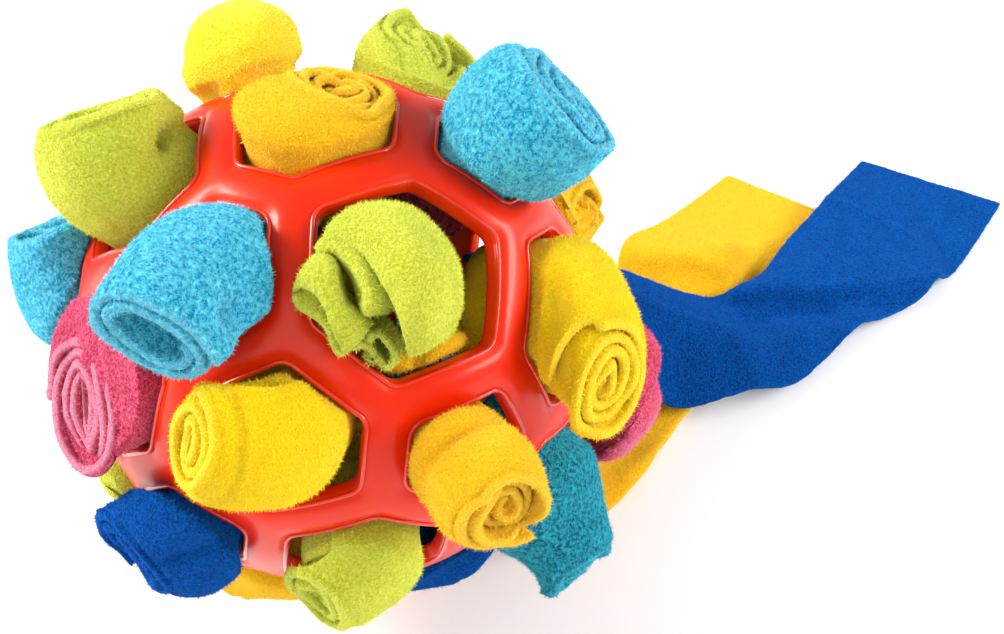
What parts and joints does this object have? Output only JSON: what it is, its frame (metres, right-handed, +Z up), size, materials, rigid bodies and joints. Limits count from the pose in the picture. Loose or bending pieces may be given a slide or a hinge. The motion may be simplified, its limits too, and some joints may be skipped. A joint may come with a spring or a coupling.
{
  "type": "dog snuffle ball",
  "caption": "Soft rubber treat ball with hexagon and pentagon holes stuffed with rolled fleece strips, two of them trailing out over the surface.",
  "frame": {"origin": "on the surface that the toy lies on, straight under the middle of the ball, in the middle of the flat end of the lowest roll", "axes": "+Z up, -Y towards the front hole with the slumped lime roll, +X towards the two trailing strips"},
  "size_m": [0.2845, 0.2276, 0.147],
  "materials": {
    "rubber": "soft orange-red rubber, satin gloss",
    "fleece_lime": "lime green fleece, short matt pile",
    "fleece_gold": "golden orange fleece, short matt pile",
    "fleece_yellow": "yellow fleece, short matt pile",
    "fleece_cyan": "light blue fleece, short matt pile",
    "fleece_teal": "teal blue fleece, short matt pile",
    "fleece_royal": "royal blue fleece, short matt pile",
    "fleece_pink": "pink fleece, short matt pile"
  },
  "bodies": {
    "root": {"ball": "rubber", "roll_00_gold": "fleece_gold", "roll_01_cyan": "fleece_cyan", "roll_02_yellow": "fleece_yellow", "roll_03_cyan": "fleece_cyan", "roll_04_lime": "fleece_lime", "roll_05_lime": "fleece_lime", "roll_06_lime": "fleece_lime", "roll_07_gold": "fleece_gold", "roll_08_cyan": "fleece_cyan", "roll_09_yellow": "fleece_yellow", "roll_10_pink": "fleece_pink", "roll_11_yellow": "fleece_yellow", "roll_12_yellow": "fleece_yellow", "roll_13_pink": "fleece_pink", "roll_14_cyan": "fleece_cyan", "roll_15_gold": "fleece_gold", "roll_16_pink": "fleece_pink", "roll_17_royal": "fleece_royal", "roll_18_royal": "fleece_royal", "roll_20_lime": "fleece_lime", "roll_21_gold": "fleece_gold", "roll_22_lime": "fleece_lime", "roll_23_lime": "fleece_lime", "roll_24_teal": "fleece_teal", "roll_26_pink": "fleece_pink", "roll_27_gold": "fleece_gold", "roll_28_cyan": "fleece_cyan", "roll_29_lime": "fleece_lime", "roll_30_royal": "fleece_royal", "roll_31_yellow": "fleece_yellow", "strip_gold": "fleece_gold", "strip_royal": "fleece_royal"}
  },
  "joints": []
}
